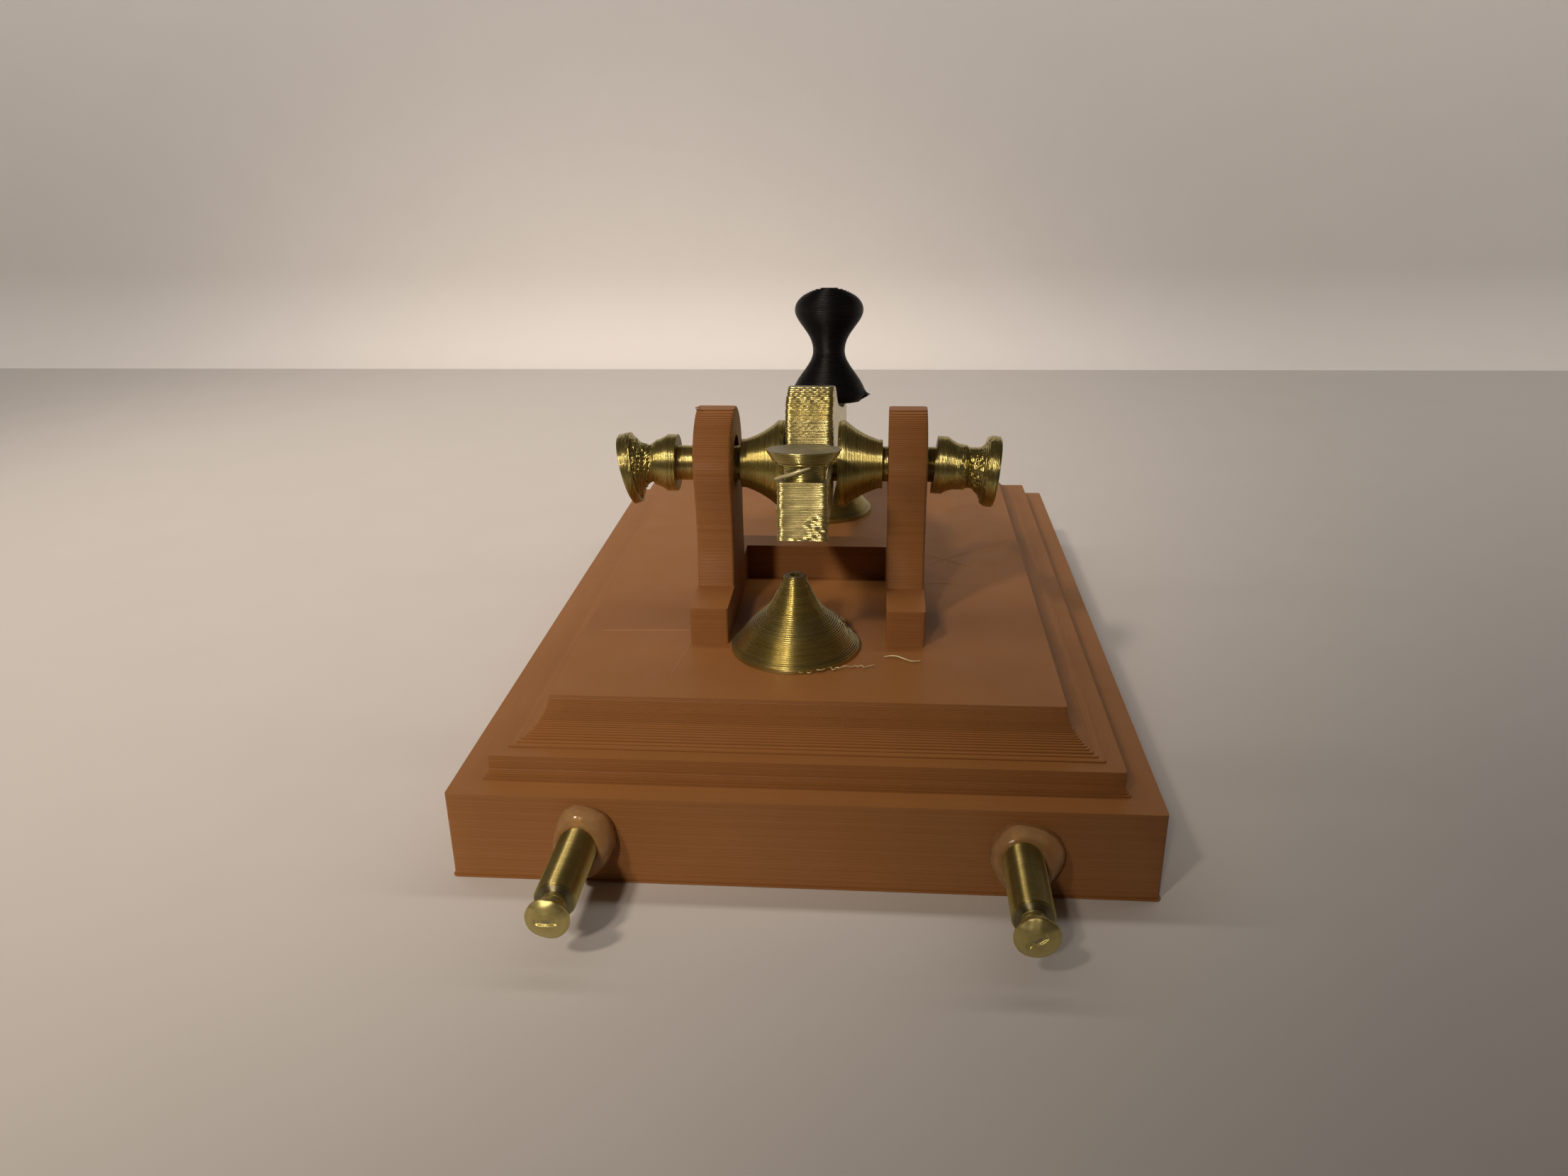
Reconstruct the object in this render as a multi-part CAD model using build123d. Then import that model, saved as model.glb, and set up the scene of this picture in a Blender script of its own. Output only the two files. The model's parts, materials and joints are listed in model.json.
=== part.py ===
from build123d import *
from math import acos, atan2, cos, degrees, hypot, radians, sin
import os

# Desk-top morse key of the camelback pattern, in millimetres.
# +Z is up. The operator sits at the -Y end, where the knob is, and looks along +Y.
# "right" is +X and "left" is -X, as the operator sees them.
# The origin is the centre of the underside of the base.

# ---- base: a square-edged slab that carries a moulded upper tier -------------------------
base_width = 80.0
base_length = 115.0
slab_height = 11.0
band_height = 2.8  # upright band at the foot of the moulding
flare_height = 1.4  # the lower part of the band flares outwards
cove_height = 4.8
ledge_width = 3.15  # slab top left showing all round the moulding
flare_width = 0.8
lip_width = 0.8  # flat shelf between the band and the hollow cove
cove_width = 5.2
edge_softening = 0.4
band_top = slab_height + band_height
deck_height = band_top + cove_height

# ---- bearing frame: two uprights on long feet, tied by a cross bar in front --------------
frame_x = 0.5  # the frame stands a little to the right of the base's centre line
axle_y = 18.45  # the pivot line, measured from the centre of the base
upright_spacing = 24.9
upright_thickness = 4.9
foot_half_length = 13.9
foot_height = 4.85
cross_bar_depth = 4.3
stem_foot_half = 6.35
stem_waist_half = 5.75
stem_waist_rise = 11.0
eye_radius = 6.8
eye_rise = 20.6  # height of the eye's centre above the deck
bearing_radius = 3.0  # the holes are drilled well over the axle's size
upright_inner_half = (upright_spacing - upright_thickness) / 2

# ---- axle, which lies on the bottom of its two oversize holes ----------------------------
axle_radius = 2.3
running_gap = 0.05
fixed_gap = 0.03
axle_z = deck_height + eye_rise - (bearing_radius - axle_radius - running_gap)

# ---- camelback lever, described by distance along it and height above the axle -----------
lever_x = 0.7
lever_width = 6.0
lever_underside = -4.66
tail_end = -17.0
tail_top = 0.2
tail_lip_drop = 2.1  # the very end of the tail turns down
tail_lip_length = 4.4
hump_rear = -4.1
hump_foot_radius = 3.0
hump_shoulder = 6.2
hump_crest_at = 3.4
hump_crest = 9.7
arm_top = 2.6
arm_flat_from = 50.0
lever_nose = 61.5
lever_edge_radius = 0.5
screw_station = -14.0
knob_station = 55.0
tail_hole_radius = 1.6
tail_hole_depth = 3.6

# ---- anvils: bell-shaped contact posts -----------------------------------------------------
anvil_radius = 8.1
anvil_rim = 0.55
anvil_height = 9.8
anvil_tip_radius = 1.45
anvil_tip_bevel = 0.4
anvil_tip_flat = anvil_tip_radius - anvil_tip_bevel
anvil_tip_hole_radius = 0.6
anvil_tip_hole_depth = 2.0
rear_anvil_x = 1.9
rear_anvil_y = 32.7
front_anvil_x = 1.1
front_anvil_y = -23.0
contact_gap = 0.05

# ---- trunnion cones and thumbscrews on the axle --------------------------------------------
cone_length = 5.75
cone_large_radius = 5.65
cone_small_radius = 3.2
right_cone_at = 4.0
left_cone_at = -3.0
thumb_length = 8.1
thumb_collar_radius = 3.75
thumb_waist_radius = 2.95
thumb_flange_radius = 4.6
thumb_flange_length = 1.7
thumb_bore_depth = 6.4
right_thumb_at = 18.3
left_thumb_at = -15.5
axle_end_play = 0.2
axle_right_end = right_thumb_at + thumb_bore_depth - axle_end_play
axle_left_end = left_thumb_at - thumb_bore_depth + axle_end_play

# ---- tail screw ----------------------------------------------------------------------------
screw_neck_radius = 2.65
screw_neck_height = 2.0
screw_ring_radius = 3.4
screw_ring_height = 0.5
screw_step_radius = 3.8
screw_head_radius = 4.5
screw_head_height = 1.15

# ---- knob and the stud that holds it ---------------------------------------------------------
knob_height = 19.3
knob_foot_radius = 5.4
knob_flange_radius = 6.6
knob_flange_height = 1.3
knob_waist_radius = 2.8
knob_head_radius = 5.95
stud_radius = 1.3
stud_in_knob = 7.0
stud_in_lever = 5.0

# ---- binding posts in the rear edge of the slab ----------------------------------------------
post_x = 24.5
post_z = 6.2
post_radius = 2.25
post_reach = 12.2
post_depth = 10.0
post_bore_radius = 1.2
post_bore_depth = 8.0
terminal_gap = 1.0  # the groove that a wire is wrapped in
terminal_neck_radius = 1.35
terminal_head_radius = 2.4
terminal_cone_length = 1.8
terminal_rim_length = 0.8
terminal_slot_width = 0.7
terminal_slot_depth = 0.5
glue_radius = 4.1
glue_height = 2.9
glue_wrap = 0.35


def moulding_section(half_width):
    """The base's cross section, as a face in X and Z that is symmetric about Z."""
    band_foot = half_width - ledge_width
    band_face = band_foot - flare_width
    cove_foot = band_face - lip_width
    cove_top = cove_foot - cove_width
    diagonal = sin(radians(45))
    flare_middle = (
        band_foot - flare_width * diagonal,
        slab_height + flare_height * (1 - diagonal),
    )
    cove_middle = (
        cove_foot - cove_width * diagonal,
        deck_height - cove_height * diagonal,
    )
    right_side = [
        Line((0, 0), (half_width, 0)),
        Line((half_width, 0), (half_width, slab_height)),
        Line((half_width, slab_height), (band_foot, slab_height)),
        ThreePointArc((band_foot, slab_height), flare_middle, (band_face, slab_height + flare_height)),
        Line((band_face, slab_height + flare_height), (band_face, band_top)),
        Line((band_face, band_top), (cove_foot, band_top)),
        ThreePointArc((cove_foot, band_top), cove_middle, (cove_top, deck_height)),
        Line((cove_top, deck_height), (0, deck_height)),
        Line((0, deck_height), (0, 0)),
    ]
    half = make_face(Wire(right_side))
    return half + mirror(half, about=Plane.YZ)


def base_plinth():
    """Two crossed extrusions of the section meet in the moulding's mitred corners."""
    along_y = extrude(Plane.XZ * moulding_section(base_width / 2), base_length / 2, both=True)
    along_x = extrude(Plane.YZ * moulding_section(base_length / 2), base_width / 2, both=True)
    body = along_y & along_x
    corners = body.edges().filter_by(Axis.Z).filter_by(lambda edge: edge.length > slab_height - 0.1)
    body = fillet(corners, edge_softening)
    for side in (-1, 1):
        mouth = Plane(origin=(side * post_x, base_length / 2, post_z), z_dir=(0, -1, 0))
        body -= extrude(mouth * Circle(post_radius + fixed_gap), post_depth + running_gap)
    return body


def upright_outline():
    """Side view of an upright: long foot, waisted stem and round eye."""
    foot_top = deck_height + foot_height
    waist_z = deck_height + stem_waist_rise
    eye_z = deck_height + eye_rise
    turn = radians(15)
    eye_side = eye_radius * cos(turn)
    eye_low = eye_z - eye_radius * sin(turn)
    outline = [
        Line((-foot_half_length, deck_height), (foot_half_length, deck_height)),
        Line((foot_half_length, deck_height), (foot_half_length, foot_top)),
        Line((foot_half_length, foot_top), (stem_foot_half, foot_top)),
        ThreePointArc((stem_foot_half, foot_top), (stem_waist_half, waist_z), (eye_side, eye_low)),
        ThreePointArc((eye_side, eye_low), (0, eye_z + eye_radius), (-eye_side, eye_low)),
        ThreePointArc((-eye_side, eye_low), (-stem_waist_half, waist_z), (-stem_foot_half, foot_top)),
        Line((-stem_foot_half, foot_top), (-foot_half_length, foot_top)),
        Line((-foot_half_length, foot_top), (-foot_half_length, deck_height)),
    ]
    return make_face(Wire(outline)) - Pos(0, eye_z) * Circle(bearing_radius)


def bearing_frame():
    outline = upright_outline()
    upright = extrude(Plane.YZ * outline, upright_thickness / 2, both=True)
    bar_length = upright_spacing
    bar_y = cross_bar_depth / 2 - foot_half_length
    bar = Pos(0, bar_y, deck_height + foot_height / 2) * Box(bar_length, cross_bar_depth, foot_height)
    frame = bar
    for side in (-1, 1):
        frame += Pos(side * upright_spacing / 2, 0, 0) * upright
    return Pos(frame_x, axle_y, 0) * frame


def bored_turning(profile, bore_radius):
    """Turn a closed outline of (radius, height) edges about Z and bore it through."""
    solid = revolve(Plane.XZ * make_face(Wire(profile)), Axis.Z)
    if bore_radius:
        solid -= Cylinder(bore_radius, 200)
    return solid


def along_axle(solid, x, outward):
    """Lay a turning, made along +Z, on the axle line with its height running outwards."""
    turn = Rot(0, 90 * outward, 0)
    return Pos(x, axle_y, axle_z) * turn * solid


def axle():
    length = axle_right_end - axle_left_end
    rod = Cylinder(axle_radius, length)
    rod = chamfer(rod.edges().filter_by(GeomType.CIRCLE), 0.3)
    middle = (axle_right_end + axle_left_end) / 2
    return along_axle(rod, middle, 1)


def trunnion_cone():
    land = 0.9
    end_land = 0.5
    profile = [
        Line((0, 0), (cone_large_radius - 0.25, 0)),
        Line((cone_large_radius - 0.25, 0), (cone_large_radius, 0.25)),
        Line((cone_large_radius, 0.25), (cone_large_radius, land)),
        ThreePointArc(
            (cone_large_radius, land),
            (4.1, 3.1),
            (cone_small_radius, cone_length - end_land),
        ),
        Line((cone_small_radius, cone_length - end_land), (cone_small_radius, cone_length)),
        Line((cone_small_radius, cone_length), (0, cone_length)),
        Line((0, cone_length), (0, 0)),
    ]
    return bored_turning(profile, axle_radius + fixed_gap)


def thumbscrew():
    collar = 1.3
    flange_from = thumb_length - thumb_flange_length
    waist_at = (collar + flange_from) / 2
    profile = [
        Line((0, 0), (thumb_collar_radius, 0)),
        Line((thumb_collar_radius, 0), (thumb_collar_radius, collar)),
        ThreePointArc(
            (thumb_collar_radius, collar),
            (thumb_waist_radius, waist_at),
            (thumb_flange_radius - 0.5, flange_from - 0.2),
        ),
        Line((thumb_flange_radius - 0.5, flange_from - 0.2), (thumb_flange_radius, flange_from)),
        Line((thumb_flange_radius, flange_from), (thumb_flange_radius, thumb_length - 0.3)),
        Line((thumb_flange_radius, thumb_length - 0.3), (thumb_flange_radius - 0.3, thumb_length)),
        Line((thumb_flange_radius - 0.3, thumb_length), (0, thumb_length)),
        Line((0, thumb_length), (0, 0)),
    ]
    body = bored_turning(profile, 0)
    bore = Cylinder(axle_radius + running_gap, 2 * thumb_bore_depth)
    return body - bore


def lever_tilt():
    """The angle, in degrees, at which the lever's underside rests on the front anvil."""
    reach = axle_y - front_anvil_y + anvil_tip_flat
    rise = axle_z - deck_height - anvil_height - contact_gap
    return degrees(acos(-lever_underside / hypot(rise, reach)) - atan2(reach, rise))


def tail_travel():
    """The angle, in degrees, from level until the tail comes down on the rear anvil."""
    reach = rear_anvil_y - axle_y + anvil_tip_flat
    rise = axle_z - deck_height - anvil_height - contact_gap
    depth = tail_lip_drop - lever_underside
    return degrees(acos(depth / hypot(rise, reach)) - atan2(reach, rise))


def on_lever(shape):
    """Carry a shape from the lever's own frame, with the axle at its origin, to rest."""
    return Pos(lever_x, axle_y, axle_z) * Rot(lever_tilt(), 0, 0) * shape


def lever_outline():
    """Side view, with the knob's end towards -Y and the axle at the origin."""

    def at(station, height):
        return (-station, height)

    lip_bottom = lever_underside - tail_lip_drop
    lip_inner = tail_end + 0.9
    lip_root = tail_end + tail_lip_length
    foot_low = (hump_rear - hump_foot_radius, tail_top)
    foot_high = (hump_rear, tail_top + hump_foot_radius)
    foot_middle = (
        foot_low[0] + hump_foot_radius * sin(radians(45)),
        foot_low[1] + hump_foot_radius * (1 - cos(radians(45))),
    )
    shoulder = (hump_rear, hump_shoulder)
    crest = (hump_crest_at, hump_crest)
    arm_points = [at(arm_flat_from, arm_top), at(28, 4.5), at(14, 7.0), at(*crest)]
    edges = [
        Line(at(tail_end, tail_top), at(tail_end, lip_bottom)),
        Line(at(tail_end, lip_bottom), at(lip_inner, lip_bottom)),
        ThreePointArc(
            at(lip_inner, lip_bottom),
            at((lip_inner + lip_root) / 2 - 0.4, (lip_bottom + lever_underside) / 2 + 0.45),
            at(lip_root, lever_underside),
        ),
        Line(at(lip_root, lever_underside), at(lever_nose, lever_underside)),
        Line(at(lever_nose, lever_underside), at(lever_nose, arm_top)),
        Line(at(lever_nose, arm_top), at(arm_flat_from, arm_top)),
        Spline(arm_points, tangents=[(1, 0), (1, 0)]),
        ThreePointArc(at(*crest), at(-1.9, 8.75), at(*shoulder)),
        Line(at(*shoulder), at(*foot_high)),
        ThreePointArc(at(*foot_high), at(*foot_middle), at(*foot_low)),
        Line(at(*foot_low), at(tail_end, tail_top)),
    ]
    return make_face(Wire(edges))


def lever():
    body = extrude(Plane.YZ * lever_outline(), lever_width / 2, both=True)
    tail_corners = body.edges().filter_by(Axis.Z).group_by(Axis.Y)[-1]
    nose_corners = body.edges().filter_by(Axis.Z).group_by(Axis.Y)[0]
    body = fillet(tail_corners + nose_corners, lever_edge_radius)
    body -= Rot(0, 90, 0) * Cylinder(axle_radius + fixed_gap, 2 * lever_width)
    tail_hole = Cylinder(tail_hole_radius + running_gap, tail_hole_depth)
    body -= Pos(0, -screw_station, tail_top - tail_hole_depth / 2) * tail_hole
    stud_hole = Cylinder(stud_radius + fixed_gap, stud_in_lever)
    body -= Pos(0, -knob_station, arm_top - stud_in_lever / 2) * stud_hole
    return on_lever(body)


def tail_screw():
    """A broad flat head, stepped in twice below, on a stout neck and a slim shank."""
    shank_end = 0.25 - tail_hole_depth
    ring_at = running_gap + screw_neck_height
    step_at = ring_at + screw_ring_height
    rim_at = step_at + screw_head_height
    profile = [
        Line((0, shank_end), (tail_hole_radius, shank_end)),
        Line((tail_hole_radius, shank_end), (tail_hole_radius, running_gap)),
        Line((tail_hole_radius, running_gap), (screw_neck_radius, running_gap)),
        Line((screw_neck_radius, running_gap), (screw_neck_radius, ring_at)),
        Line((screw_neck_radius, ring_at), (screw_ring_radius, ring_at)),
        Line((screw_ring_radius, ring_at), (screw_ring_radius + 0.1, step_at)),
        Line((screw_ring_radius + 0.1, step_at), (screw_step_radius, step_at)),
        Line((screw_step_radius, step_at), (screw_head_radius, rim_at - 0.15)),
        Line((screw_head_radius, rim_at - 0.15), (screw_head_radius, rim_at)),
        Line((screw_head_radius, rim_at), (0, rim_at)),
        Line((0, rim_at), (0, shank_end)),
    ]
    return on_lever(Pos(0, -screw_station, tail_top) * bored_turning(profile, 0))


def knob():
    """A waisted knob with a domed head and a bell-shaped foot."""
    foot_edge = (knob_flange_radius, knob_flange_height)
    flank = [
        foot_edge,
        (4.9, 4.5),
        (knob_waist_radius, 8.3),
        (3.3, 10.9),
        (5.2, 13.7),
        (knob_head_radius, 15.6),
        (5.2, 17.4),
        (3.2, 18.7),
        (0, knob_height),
    ]
    profile = [
        Line((0, 0), (knob_foot_radius, 0)),
        Line((knob_foot_radius, 0), foot_edge),
        Spline(flank, tangents=[(-0.35, 1), (-1, 0)]),
        Line((0, knob_height), (0, 0)),
    ]
    body = bored_turning(profile, 0)
    body -= Pos(0, 0, stud_in_knob / 2) * Cylinder(stud_radius + fixed_gap, stud_in_knob)
    return on_lever(Pos(0, -knob_station, arm_top) * body)


def knob_stud():
    end_play = 0.2
    length = stud_in_knob + stud_in_lever - 2 * end_play
    middle = arm_top + (stud_in_knob - stud_in_lever) / 2
    return on_lever(Pos(0, -knob_station, middle) * Cylinder(stud_radius, length))


def anvil(x, y):
    """A bell-shaped post with a small hole in its tip."""
    rim = (anvil_radius, anvil_rim)
    shoulder = (anvil_tip_radius, anvil_height - 0.25)
    flank = [rim, (5.9, 3.1), (3.4, 5.5), (2.3, 7.4), shoulder]
    profile = [
        Line((0, 0), (anvil_radius, 0)),
        Line((anvil_radius, 0), rim),
        Spline(flank, tangents=[(-1, 0.75), (-0.18, 1)]),
        Line(shoulder, (anvil_tip_flat, anvil_height)),
        Line((anvil_tip_flat, anvil_height), (0, anvil_height)),
        Line((0, anvil_height), (0, 0)),
    ]
    body = bored_turning(profile, 0)
    hole_middle = anvil_height - anvil_tip_hole_depth / 2
    body -= Pos(0, 0, hole_middle) * Cylinder(anvil_tip_hole_radius, anvil_tip_hole_depth)
    return Pos(x, y, deck_height) * body


def out_of_rear(solid, side):
    """Place a turning, made along +Z, so that it stands out of the slab's rear edge."""
    return Pos(side * post_x, base_length / 2, post_z) * Rot(-90, 0, 0) * solid


def binding_post(side):
    length = post_reach + post_depth
    rod = Pos(0, 0, (post_reach - post_depth) / 2) * Cylinder(post_radius, length)
    rod = chamfer(rod.edges().filter_by(GeomType.CIRCLE), 0.25)
    bore_middle = post_reach - post_bore_depth / 2
    rod -= Pos(0, 0, bore_middle) * Cylinder(post_bore_radius + running_gap, post_bore_depth)
    return out_of_rear(rod, side)


def binding_screw(side, slot_angle):
    """A slotted head with a coned back; its shank turns in the post's bore."""
    shank_end = post_reach - post_bore_depth + 0.3
    neck_from = post_reach + running_gap
    cone_from = neck_from + terminal_gap
    rim_from = cone_from + terminal_cone_length
    face = rim_from + terminal_rim_length
    crown = 0.35
    profile = [
        Line((0, shank_end), (post_bore_radius, shank_end)),
        Line((post_bore_radius, shank_end), (post_bore_radius, neck_from)),
        Line((post_bore_radius, neck_from), (terminal_neck_radius, neck_from)),
        Line((terminal_neck_radius, neck_from), (terminal_neck_radius, cone_from)),
        Line((terminal_neck_radius, cone_from), (terminal_head_radius, rim_from)),
        Line((terminal_head_radius, rim_from), (terminal_head_radius, face - crown)),
        ThreePointArc((terminal_head_radius, face - crown), (1.3, face - 0.08), (0, face)),
        Line((0, face), (0, shank_end)),
    ]
    head = bored_turning(profile, 0)
    slot = Box(2 * terminal_head_radius + 1, terminal_slot_width, 2 * terminal_slot_depth)
    head -= Pos(0, 0, face) * Rot(0, 0, slot_angle) * slot
    return out_of_rear(head, side)


def glue_bead(side):
    """A bead of clear glue that fills the corner between a post and the slab."""
    bore = post_radius + fixed_gap
    brow = bore + glue_wrap
    profile = [
        Line((bore, 0), (glue_radius, 0)),
        ThreePointArc((glue_radius, 0), (glue_radius - 0.35, glue_height * 0.62), (brow, glue_height)),
        Line((brow, glue_height), (bore, glue_height)),
        Line((bore, glue_height), (bore, 0)),
    ]
    return out_of_rear(revolve(Plane.XZ * make_face(Wire(profile)), Axis.Z), side)


nodes = {
    "base_plinth": base_plinth(),
    "bearing_frame": bearing_frame(),
    "rear_anvil": anvil(rear_anvil_x, rear_anvil_y),
    "front_anvil": anvil(front_anvil_x, front_anvil_y),
    "axle": axle(),
    "lever": lever(),
    "tail_screw": tail_screw(),
    "knob": knob(),
    "knob_stud": knob_stud(),
    "right_trunnion_cone": along_axle(trunnion_cone(), right_cone_at, 1),
    "left_trunnion_cone": along_axle(trunnion_cone(), left_cone_at, -1),
    "right_thumbscrew": along_axle(thumbscrew(), right_thumb_at, 1),
    "left_thumbscrew": along_axle(thumbscrew(), left_thumb_at, -1),
}
slot_angles = {"right": 0, "left": 35}
for name, side in (("right", 1), ("left", -1)):
    nodes[f"{name}_binding_post"] = binding_post(side)
    nodes[f"{name}_binding_screw"] = binding_screw(side, slot_angles[name])
    nodes[f"{name}_glue_bead"] = glue_bead(side)

os.makedirs("parts", exist_ok=True)
for name, shape in nodes.items():
    export_step(shape, f"parts/{name}.step")

print(f"lever at rest: {lever_tilt():.3f} degrees, travel {lever_tilt() + tail_travel():.3f}")
print(f"axle height {axle_z:.3f}, deck {deck_height:.3f}")
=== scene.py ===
import json
import math
import random

import bmesh
import bpy
import numpy as np
from mathutils import Matrix, Vector

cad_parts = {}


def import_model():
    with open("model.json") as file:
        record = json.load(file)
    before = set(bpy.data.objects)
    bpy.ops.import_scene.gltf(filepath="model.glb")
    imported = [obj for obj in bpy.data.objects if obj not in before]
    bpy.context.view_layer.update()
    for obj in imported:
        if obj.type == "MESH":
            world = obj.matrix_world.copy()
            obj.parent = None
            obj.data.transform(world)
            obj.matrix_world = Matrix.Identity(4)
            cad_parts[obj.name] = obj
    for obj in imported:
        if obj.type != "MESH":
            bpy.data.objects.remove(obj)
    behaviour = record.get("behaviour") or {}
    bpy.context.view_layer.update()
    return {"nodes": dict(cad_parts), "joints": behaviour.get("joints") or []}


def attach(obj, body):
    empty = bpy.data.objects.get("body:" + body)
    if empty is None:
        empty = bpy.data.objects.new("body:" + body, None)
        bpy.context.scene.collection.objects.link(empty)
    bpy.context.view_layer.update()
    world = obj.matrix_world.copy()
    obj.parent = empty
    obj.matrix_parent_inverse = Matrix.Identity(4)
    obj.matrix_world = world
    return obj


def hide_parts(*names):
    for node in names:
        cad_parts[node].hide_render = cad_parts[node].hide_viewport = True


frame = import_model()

# Looks for a printed morse key. The CAD model is in metres and everything below is worked out in
# millimetres. Each printed piece is rebuilt as a stack of layers whose outlines are cut from its CAD node,
# so it keeps the CAD's size and place. The hidden knob stud stays as it is in the CAD.
MM = 0.001

# ---- how the print was made --------------------------------------------------------------------
layer_height = 0.2
layer_groove = 0.016
silk_groove = 0.032
circle_points = 112
layer_rows = ((0.06, 1.0), (0.34, 0.0), (0.66, 0.0), (0.94, 1.0))  # share of height, share of groove

# ---- sizes that a section of the CAD doesn't give ----------------------------------------------
upright_edge = 0.4
bearing_radius = 3.0
bearing_centre_z = 39.2
lever_corner = 0.5
terminal_slot = (0.6, 0.25)  # width and depth
terminal_slot_reach = 1.3
glue_index = 1.35
foot_height = 4.85
first_layer_bulge = 0.2
string_drop = 3.65  # from the tail screw's top to the foot of its strings

nodes = frame["nodes"]
joints = {joint["name"]: joint for joint in frame["joints"]}


# ---- reading the CAD ---------------------------------------------------------------------------
def cad_mesh(node, placement):
    """A CAD node's vertices, in millimetres in the placement's own frame, and its edges."""
    mesh = nodes[node].data
    points = np.zeros(len(mesh.vertices) * 3)
    mesh.vertices.foreach_get("co", points)
    points = points.reshape(-1, 3) / MM
    inverse = np.array(placement.inverted())
    points = points @ inverse[:3, :3].T + inverse[:3, 3]
    edges = np.zeros(len(mesh.edges) * 2, dtype=int)
    mesh.edges.foreach_get("vertices", edges)
    return points, edges.reshape(-1, 2)


def local_box(node, placement):
    points, _ = cad_mesh(node, placement)
    return points.min(axis=0), points.max(axis=0)


def sections(node, placement):
    """A function that gives, for a height, the points where the node's edges cross it."""
    points, edges = cad_mesh(node, placement)
    first = points[edges[:, 0]]
    second = points[edges[:, 1]]

    def at(height):
        crossing = (first[:, 2] - height) * (second[:, 2] - height) < 0
        low = first[crossing]
        high = second[crossing]
        share = (height - low[:, 2]) / (high[:, 2] - low[:, 2])
        return (low + (high - low) * share[:, None])[:, :2]

    return at


def standing(x, y, z):
    return Matrix.Translation((x, y, z))


def pointing(x, y, z, direction):
    """A placement whose own Z runs along a direction."""
    turn = Vector(direction).to_track_quat("Z", "Y").to_matrix().to_4x4()
    return Matrix.Translation((x, y, z)) @ turn


# ---- wavy functions for wobble and rough print -------------------------------------------------
def waves(seed, wavelength, count=9):
    """A repeatable wavy function of points in space, mostly between -1 and 1."""
    rng = random.Random(seed)
    terms = []
    for _ in range(count):
        direction = Vector([rng.gauss(0, 1) for _ in range(3)]).normalized()
        number = 2 * math.pi / (wavelength * rng.uniform(0.6, 1.6))
        terms.append((np.array(direction) * number, rng.uniform(0, 2 * math.pi)))

    def value(points):
        total = np.zeros(len(points))
        for vector, phase in terms:
            total += np.sin(points @ vector + phase)
        return total / math.sqrt(count)

    return value


def near(points, centre, reach):
    """1 at a centre, falling smoothly to 0 at the given distance from it."""
    distance = np.linalg.norm(points - np.array(centre), axis=1)
    share = np.clip(1 - distance / reach, 0, 1)
    return share * share * (3 - 2 * share)


# ---- outlines ----------------------------------------------------------------------------------
def circle(radius, points=circle_points):
    angles = np.arange(points) * 2 * math.pi / points
    return np.column_stack((np.cos(angles), np.sin(angles))) * radius


def rounded(corners, radius, side_pieces, arc_points=4):
    """A closed outline through the corners, turning left, with convex corners rounded.

    side_pieces says how many pieces each straight side is cut into, from the side after the first corner.
    """
    corners = [np.array(corner, dtype=float) for corner in corners]
    bends = []
    for index, corner in enumerate(corners):
        before = corners[index - 1] - corner
        after = corners[(index + 1) % len(corners)] - corner
        before = before / np.linalg.norm(before)
        after = after / np.linalg.norm(after)
        if before[0] * after[1] - before[1] * after[0] > 0:
            bends.append([corner])
            continue
        centre = corner + (before + after) * radius
        start = math.atan2(-after[1], -after[0])
        angles = [start + math.pi / 2 * step / arc_points for step in range(arc_points + 1)]
        bends.append([centre + radius * np.array((math.cos(angle), math.sin(angle))) for angle in angles])
    outline = []
    for index, bend in enumerate(bends):
        following = bends[(index + 1) % len(bends)][0]
        outline += bend
        pieces = side_pieces[index % len(side_pieces)]
        for piece_index in range(1, pieces):
            outline.append(bend[-1] + (following - bend[-1]) * piece_index / pieces)
    return np.array(outline)


def outward(outline):
    """The outward direction at each point, lengthened at corners so that walls move evenly."""
    ahead = np.roll(outline, -1, axis=0) - outline
    ahead /= np.linalg.norm(ahead, axis=1)[:, None]
    normal_after = np.column_stack((ahead[:, 1], -ahead[:, 0]))
    normal_before = np.roll(normal_after, 1, axis=0)
    together = normal_after + normal_before
    return together / (1 + (normal_after * normal_before).sum(axis=1))[:, None]


def raised(outline, height):
    return np.column_stack((outline, np.full(len(outline), height)))


# ---- meshes ------------------------------------------------------------------------------------
def skin(rows, closed=False):
    """A skin through rows of points: capped at both ends, or closed from the last row to the first."""
    count = len(rows[0])
    faces = []
    for row in range(len(rows) - 1 + closed):
        lower = row * count
        upper = (row + 1) % len(rows) * count
        for index in range(count):
            beside = (index + 1) % count
            faces.append((lower + index, lower + beside, upper + beside, upper + index))
    if not closed:
        faces.append(tuple(reversed(range(count))))
        faces.append(tuple(range((len(rows) - 1) * count, len(rows) * count)))
    return np.concatenate(rows), faces


def layers(outline_at, low, high, rough=None, groove=layer_groove):
    """Rows of points for printed layers from one height to another."""
    count = max(1, round((high - low) / layer_height))
    pitch = (high - low) / count
    rows = []
    for layer in range(count):
        foot = low + layer * pitch
        outline = outline_at(foot + pitch / 2)
        direction = outward(outline)
        for share, inset in layer_rows:
            height = foot + share * pitch
            offset = np.full(len(outline), -inset * groove)
            if rough:
                offset += rough(raised(outline, height), layer)
            rows.append(raised(outline + direction * offset[:, None], height))
    rows[0][:, 2] = low
    rows[-1][:, 2] = high
    return rows


def joined(*shells):
    """Several shells as one set of vertices and faces."""
    vertices = []
    faces = []
    start = 0
    for shell_vertices, shell_faces in shells:
        vertices.append(shell_vertices)
        faces += [tuple(start + index for index in face) for face in shell_faces]
        start += len(shell_vertices)
    return np.concatenate(vertices), faces


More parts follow.
